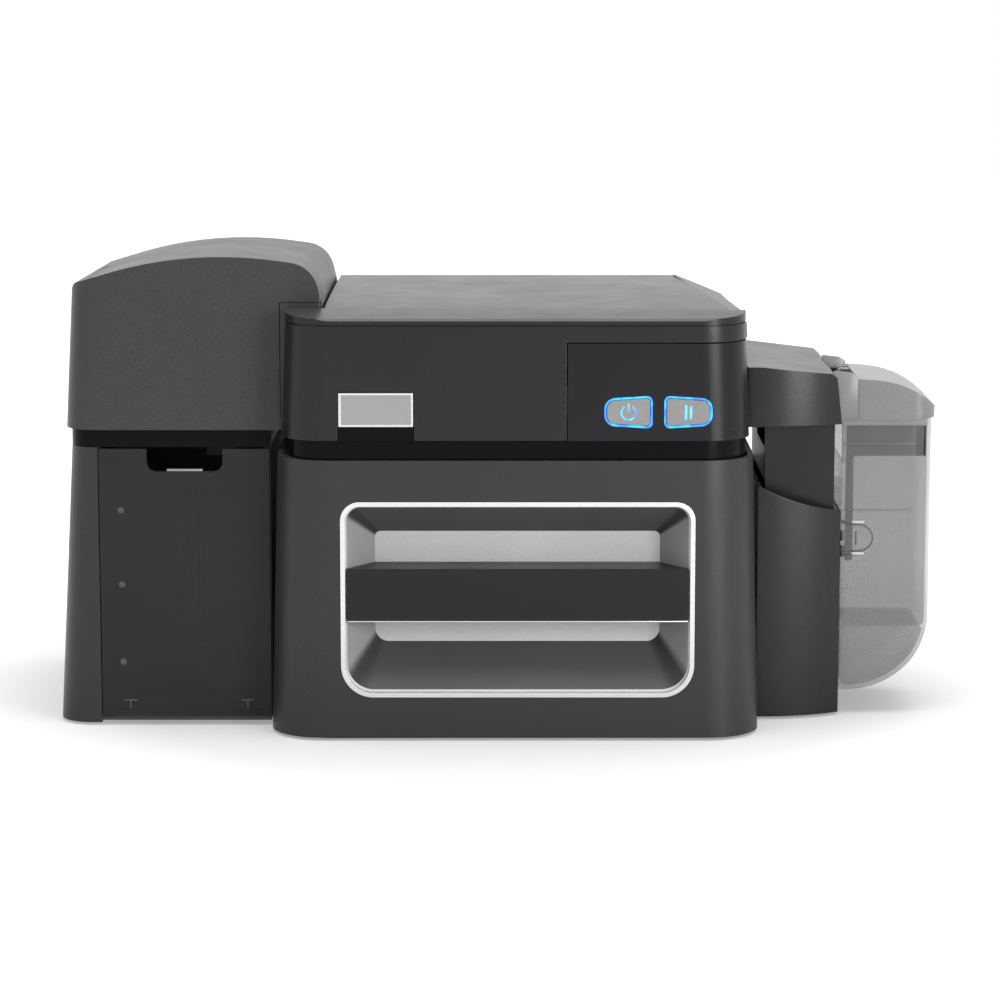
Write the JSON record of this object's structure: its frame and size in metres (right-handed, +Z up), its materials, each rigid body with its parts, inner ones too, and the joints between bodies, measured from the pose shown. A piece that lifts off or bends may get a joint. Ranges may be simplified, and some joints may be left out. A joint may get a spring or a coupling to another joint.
{
  "type": "id card printer",
  "caption": "Desktop plastic card printer with a hinged lid, a drop-down front door, a card hopper tower on the left and an output module with a smoked bin on the right.",
  "frame": {"origin": "middle of the footprint, on the surface the machine stands on", "axes": "+Z up, +X to the machine's right as seen from the front, +Y to its back"},
  "size_m": [0.47, 0.235, 0.2509],
  "materials": {
    "dark_shell": "fine spark texture",
    "lid_shell": "fine spark texture",
    "gloss_black": "gloss",
    "silver_plastic": "satin silver",
    "bright_trim": "satin",
    "light_ring": "lit",
    "smoked": "clear, smoked",
    "steel": "plain",
    "inner_plastic": "moulded",
    "gear_plastic": "natural",
    "pinion_brass": "plain",
    "roller_rubber": "matte",
    "pinch": "matte",
    "board": "solder mask",
    "head_alu": "milled",
    "cartridge": "moulded",
    "spool": "film"
  },
  "bodies": {
    "base": {"base_tray": "dark_shell", "rubber_feet": "roller_rubber", "main_casing": "dark_shell", "waist_band": "gloss_black", "rear_cover": "dark_shell", "lid_hinge_pins": "steel", "power_inlet": "gloss_black", "usb_port": "steel", "main_board": "board", "power_supply": "steel", "drive_motor": "inner_plastic", "front_frame_plate": "steel", "rear_frame_plate": "steel", "frame_ties": "steel", "card_guides": "inner_plastic", "print_head": "head_alu", "head_heat_sink": "head_alu", "cartridge_frame": "cartridge", "ribbon_film": "spool", "tower_casing": "dark_shell", "tower_band": "gloss_black", "tower_hood": "lid_shell", "hopper_tray": "inner_plastic", "output_ramp": "inner_plastic", "hopper_door_rod": "steel", "hinge_pins": "steel", "module_lower_cover": "dark_shell", "module_upper_cover": "dark_shell", "module_chute": "gloss_black"},
    "lid": {"lid_skirt": "lid_shell", "lid_top": "lid_shell", "control_panel": "gloss_black", "badge_plate": "bright_trim", "button_rings": "light_ring", "button_board": "board"},
    "front_door": {"front_door": "dark_shell", "recess_pan": "silver_plastic", "recess_bezel": "bright_trim", "handle_bar": "gloss_black"},
    "hopper_door": {"hopper_door": "lid_shell"},
    "output_door": {"output_door": "smoked"},
    "bin_lid": {"bin_lid": "smoked"},
    "output_bin": {"output_bin": "smoked"},
    "card_weight": {"card_weight": "inner_plastic"},
    "power_button": {"power_button": "silver_plastic"},
    "pause_button": {"pause_button": "silver_plastic"},
    "platen": {"platen_roller": "roller_rubber", "platen_gear": "gear_plastic"},
    "feed_set": {"feed_roller": "roller_rubber", "feed_gear": "gear_plastic"},
    "exit_set": {"exit_roller": "roller_rubber", "exit_gear": "gear_plastic"},
    "idler_a": {"idler_gear_a": "gear_plastic"},
    "idler_b": {"idler_gear_b": "gear_plastic"},
    "pinion": {"motor_pinion": "pinion_brass"},
    "feed_pinch": {"feed_pinch_roller": "pinch"},
    "exit_pinch": {"exit_pinch_roller": "pinch"},
    "supply_spool": {"supply_spool": "spool"},
    "takeup_spool": {"takeup_spool": "spool"},
    "pick_roller": {"pick_roller": "roller_rubber"}
  },
  "joints": [
    {"name": "lid_hinge", "type": "hinge", "parent": "base", "child": "lid", "pos_m": [0.009, 0.1089, 0.214], "axis": [-1, 0, 0], "range_deg": [0, 65]},
    {"name": "front_door_hinge", "type": "hinge", "parent": "base", "child": "front_door", "pos_m": [0.009, -0.1095, 0.02], "axis": [1, 0, 0], "range_deg": [0, 85]},
    {"name": "hopper_door_hinge", "type": "hinge", "parent": "base", "child": "hopper_door", "pos_m": [-0.2259, 0.025, 0.1589], "axis": [-0.0543, 0, -0.9985], "range_deg": [0, 90]},
    {"name": "output_door_hinge", "type": "hinge", "parent": "base", "child": "output_door", "pos_m": [-0.166, -0.075, 0.01], "axis": [1, 0, 0], "range_deg": [0, 75]},
    {"name": "bin_lid_hinge", "type": "hinge", "parent": "base", "child": "bin_lid", "pos_m": [0.1886, -0.018, 0.18], "axis": [0, -1, 0], "range_deg": [0, 80]},
    {"name": "output_bin_slide", "type": "slide", "parent": "base", "child": "output_bin", "axis": [1, 0, 0], "range_m": [0, 0.03]},
    {"name": "card_weight_slide", "type": "slide", "parent": "base", "child": "card_weight", "axis": [0, 0, 1], "range_m": [0, 0.05]},
    {"name": "power_button_press", "type": "slide", "parent": "lid", "child": "power_button", "axis": [0, 1, 0], "range_m": [0, 0.0012], "stiffness_N_per_m": 400, "springref_m": -0.001},
    {"name": "pause_button_press", "type": "slide", "parent": "lid", "child": "pause_button", "axis": [0, 1, 0], "range_m": [0, 0.0012], "stiffness_N_per_m": 400, "springref_m": -0.001},
    {"name": "platen_spin", "type": "hinge", "parent": "base", "child": "platen", "pos_m": [0.009, 0.016, 0.1658], "axis": [0, 1, 0], "continuous": true},
    {"name": "feed_spin", "type": "hinge", "parent": "base", "child": "feed_set", "pos_m": [-0.061, 0.016, 0.1658], "axis": [0, 1, 0], "continuous": true},
    {"name": "exit_spin", "type": "hinge", "parent": "base", "child": "exit_set", "pos_m": [0.079, 0.016, 0.1658], "axis": [0, 1, 0], "continuous": true},
    {"name": "idler_a_spin", "type": "hinge", "parent": "base", "child": "idler_a", "pos_m": [-0.026, 0.016, 0.1658], "axis": [0, 1, 0], "continuous": true},
    {"name": "idler_b_spin", "type": "hinge", "parent": "base", "child": "idler_b", "pos_m": [0.044, 0.016, 0.1658], "axis": [0, 1, 0], "continuous": true},
    {"name": "pinion_spin", "type": "hinge", "parent": "base", "child": "pinion", "pos_m": [0.044, 0.016, 0.1383], "axis": [0, 1, 0], "continuous": true},
    {"name": "feed_pinch_spin", "type": "hinge", "parent": "base", "child": "feed_pinch", "pos_m": [-0.061, -0.018, 0.151], "axis": [0, 1, 0], "continuous": true},
    {"name": "exit_pinch_spin", "type": "hinge", "parent": "base", "child": "exit_pinch", "pos_m": [0.079, -0.018, 0.151], "axis": [0, 1, 0], "continuous": true},
    {"name": "supply_spin", "type": "hinge", "parent": "base", "child": "supply_spool", "pos_m": [-0.033, -0.018, 0.084], "axis": [0, 1, 0], "continuous": true},
    {"name": "takeup_spin", "type": "hinge", "parent": "base", "child": "takeup_spool", "pos_m": [0.051, -0.018, 0.084], "axis": [0, 1, 0], "continuous": true},
    {"name": "pick_spin", "type": "hinge", "parent": "base", "child": "pick_roller", "pos_m": [-0.1494, -0.018, 0.148], "axis": [0, 1, 0], "continuous": true}
  ],
  "couplings": [
    {"joint": "feed_spin", "follows": "platen_spin", "ratio": 1},
    {"joint": "exit_spin", "follows": "platen_spin", "ratio": 1},
    {"joint": "idler_a_spin", "follows": "platen_spin", "ratio": -0.75},
    {"joint": "idler_b_spin", "follows": "platen_spin", "ratio": -0.75},
    {"joint": "pinion_spin", "follows": "platen_spin", "ratio": 2},
    {"joint": "feed_pinch_spin", "follows": "platen_spin", "ratio": -1.3333},
    {"joint": "exit_pinch_spin", "follows": "platen_spin", "ratio": -1.3333}
  ]
}
